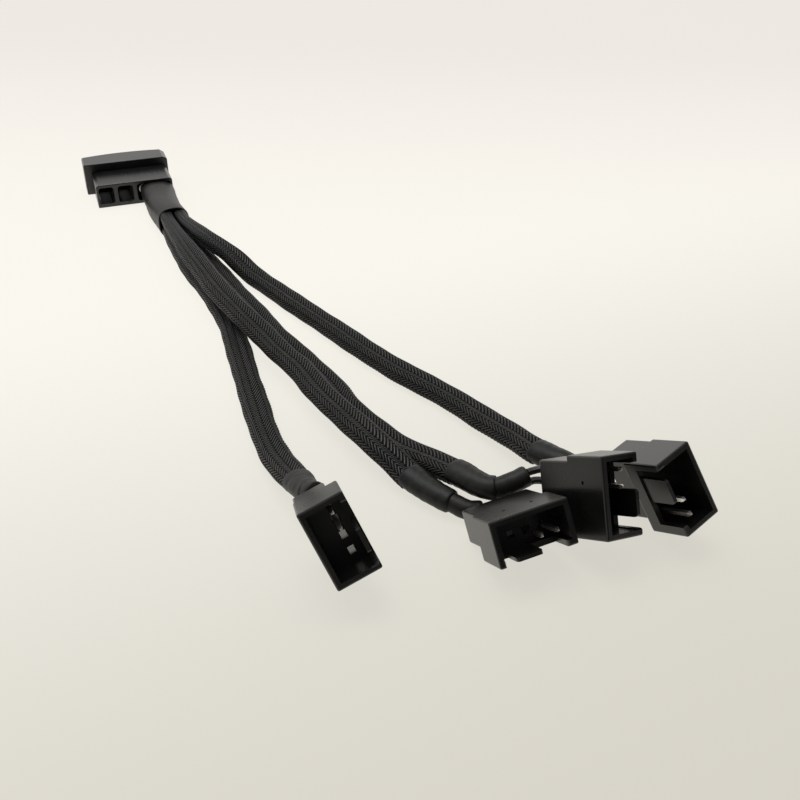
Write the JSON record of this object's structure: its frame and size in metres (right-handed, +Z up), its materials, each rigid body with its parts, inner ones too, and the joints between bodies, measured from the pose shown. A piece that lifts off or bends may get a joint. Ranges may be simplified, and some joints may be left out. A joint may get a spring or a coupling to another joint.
{
  "type": "sleeved fan power splitter cable",
  "caption": "Black sleeved splitter cable: a flat moulded peripheral power plug feeds a short shrink-wrapped trunk that fans out into braided leads, each with a small keyed fan socket.",
  "frame": {"origin": "on the surface it lies on, under the middle of the box around the connectors, trunk and cuffs", "axes": "+Y from the fan sockets towards the power plug's mating face, +Z up, +X to the right seen from the fan sockets"},
  "size_m": [0.0758, 0.1972, 0.0178],
  "materials": {
    "housing": "glossy moulded black plastic",
    "heat_shrink": "matte dark grey heat-shrink",
    "braid": "black braided monofilament sleeve",
    "wire_skin": "black wire insulation",
    "tinned_metal": "bright tinned metal"
  },
  "bodies": {
    "root": {"boot_a": "heat_shrink", "boot_b": "heat_shrink", "boot_c": "heat_shrink", "boot_d": "heat_shrink", "cuff_a": "heat_shrink", "cuff_b": "heat_shrink", "cuff_c": "heat_shrink", "cuff_d": "heat_shrink", "fan_pin_a1": "tinned_metal", "fan_pin_a2": "tinned_metal", "fan_pin_b1": "tinned_metal", "fan_pin_b2": "tinned_metal", "fan_pin_c1": "tinned_metal", "fan_pin_c2": "tinned_metal", "fan_pin_d1": "tinned_metal", "fan_pin_d2": "tinned_metal", "fan_socket_a": "housing", "fan_socket_b": "housing", "fan_socket_c": "housing", "fan_socket_d": "housing", "fan_wire_a1": "wire_skin", "fan_wire_a2": "wire_skin", "fan_wire_b1": "wire_skin", "fan_wire_b2": "wire_skin", "fan_wire_c1": "wire_skin", "fan_wire_c2": "wire_skin", "fan_wire_d1": "wire_skin", "fan_wire_d2": "wire_skin", "power_pin_1": "tinned_metal", "power_pin_2": "tinned_metal", "power_plug_housing": "housing", "power_wire_1": "wire_skin", "power_wire_2": "wire_skin", "sleeve_a": "braid", "sleeve_b": "braid", "sleeve_c": "braid", "sleeve_d": "braid", "trunk_heat_shrink": "heat_shrink"}
  },
  "joints": []
}
